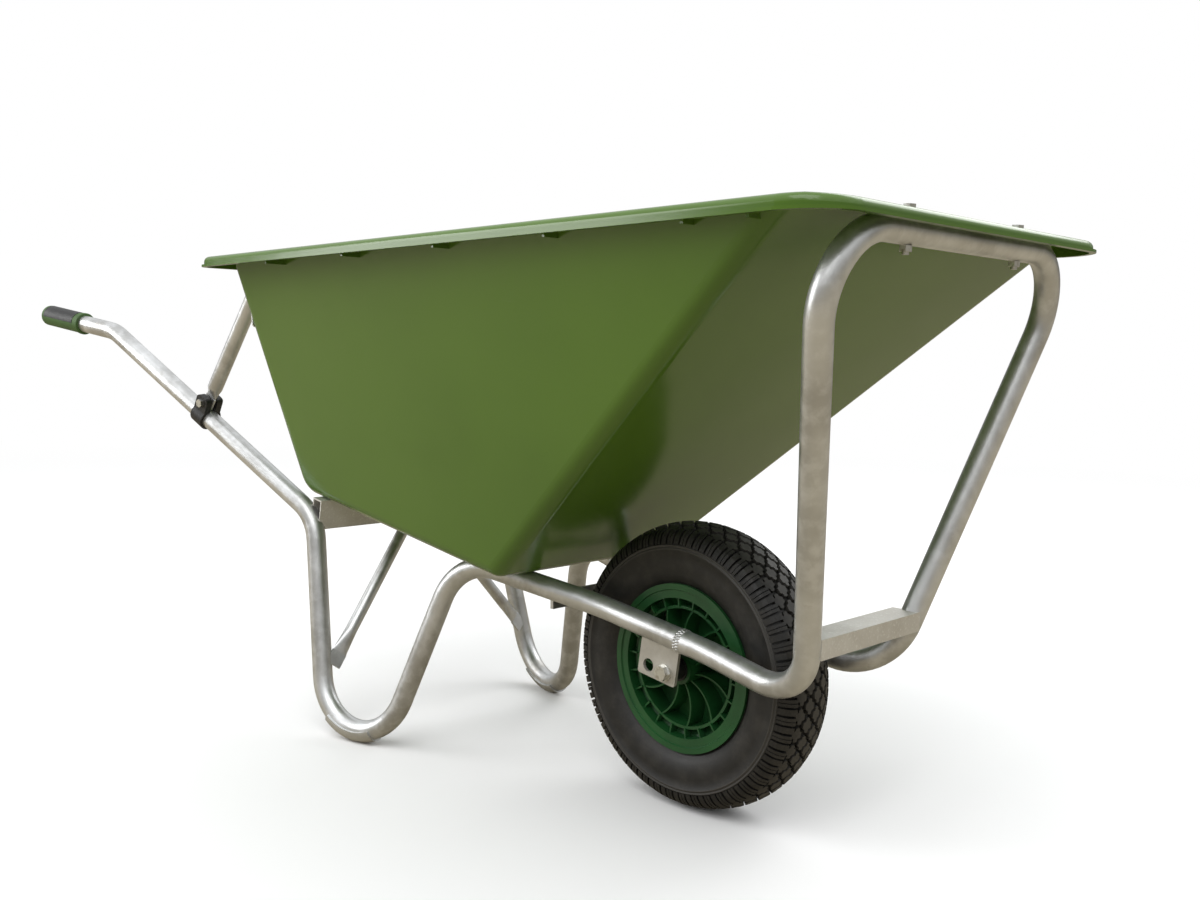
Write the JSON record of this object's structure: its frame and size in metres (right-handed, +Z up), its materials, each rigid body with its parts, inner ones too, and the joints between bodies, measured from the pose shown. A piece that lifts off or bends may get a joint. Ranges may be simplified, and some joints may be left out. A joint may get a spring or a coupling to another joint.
{
  "type": "wheelbarrow",
  "caption": "Deep moulded tub on a bent round-tube frame with hooped front, looped legs, bolted struts and a pneumatic wheel.",
  "frame": {"origin": "on the ground, below the middle of the barrow's outline seen from above", "axes": "+X forward towards the wheel, +Y to the user's left, +Z up"},
  "size_m": [1.8168, 0.7498, 0.7966],
  "materials": {
    "tub_plastic": "glossy moulded polyethylene, mid green",
    "galvanised": "hot-dip galvanised, satin with mottling",
    "zinc_plate": "galvanised plate, matt",
    "fastener_zinc": "bright zinc plate",
    "clamp_plastic": "black, satin",
    "wheel_plastic": "dark green, semi-gloss",
    "tyre_rubber": "black rubber",
    "tube_rubber": "smooth black rubber",
    "cap_plastic": "black plastic",
    "bush_plastic": "black bearing plastic",
    "grip_plastic": "green, soft",
    "inlay_plastic": "black, satin"
  },
  "bodies": {
    "frame": {"axle_bolt": "fastener_zinc", "axle_bracket_left": "zinc_plate", "axle_bracket_right": "zinc_plate", "axle_nut": "fastener_zinc", "axle_sleeve": "fastener_zinc", "axle_spacer_left": "cap_plastic", "axle_spacer_right": "cap_plastic", "axle_washers": "fastener_zinc", "clamp_bolt_left": "fastener_zinc", "clamp_bolt_right": "fastener_zinc", "clamp_nut_left": "fastener_zinc", "clamp_nut_right": "fastener_zinc", "foot_shoe_left": "galvanised", "foot_shoe_right": "galvanised", "front_crossbar": "galvanised", "front_hoop": "galvanised", "front_tie": "galvanised", "grip_inlay_left": "inlay_plastic", "grip_inlay_right": "inlay_plastic", "grip_left": "grip_plastic", "grip_right": "grip_plastic", "handle_clamp_left": "clamp_plastic", "handle_clamp_right": "clamp_plastic", "leg_brace_left": "galvanised", "leg_brace_right": "galvanised", "rail_spigot_left": "galvanised", "rail_spigot_right": "galvanised", "rear_crossmember": "galvanised", "rim_bolts": "fastener_zinc", "rim_nuts": "fastener_zinc", "rim_washers": "fastener_zinc", "side_tube_left": "galvanised", "side_tube_right": "galvanised", "strut_bolts": "fastener_zinc", "strut_nuts": "fastener_zinc", "strut_washers": "fastener_zinc", "tray": "tub_plastic", "tub_strut_left": "galvanised", "tub_strut_right": "galvanised"},
    "wheel": {"wheel_centre": "wheel_plastic", "tyre": "tyre_rubber", "inner_tube": "tube_rubber", "valve_stem": "tube_rubber", "valve_cap": "cap_plastic", "hub_bush_left": "bush_plastic", "hub_bush_right": "bush_plastic"}
  },
  "joints": [
    {"name": "wheel_spin", "type": "hinge", "parent": "frame", "child": "wheel", "pos_m": [0.49637, 0, 0.2], "axis": [0, 1, 0], "continuous": true}
  ]
}
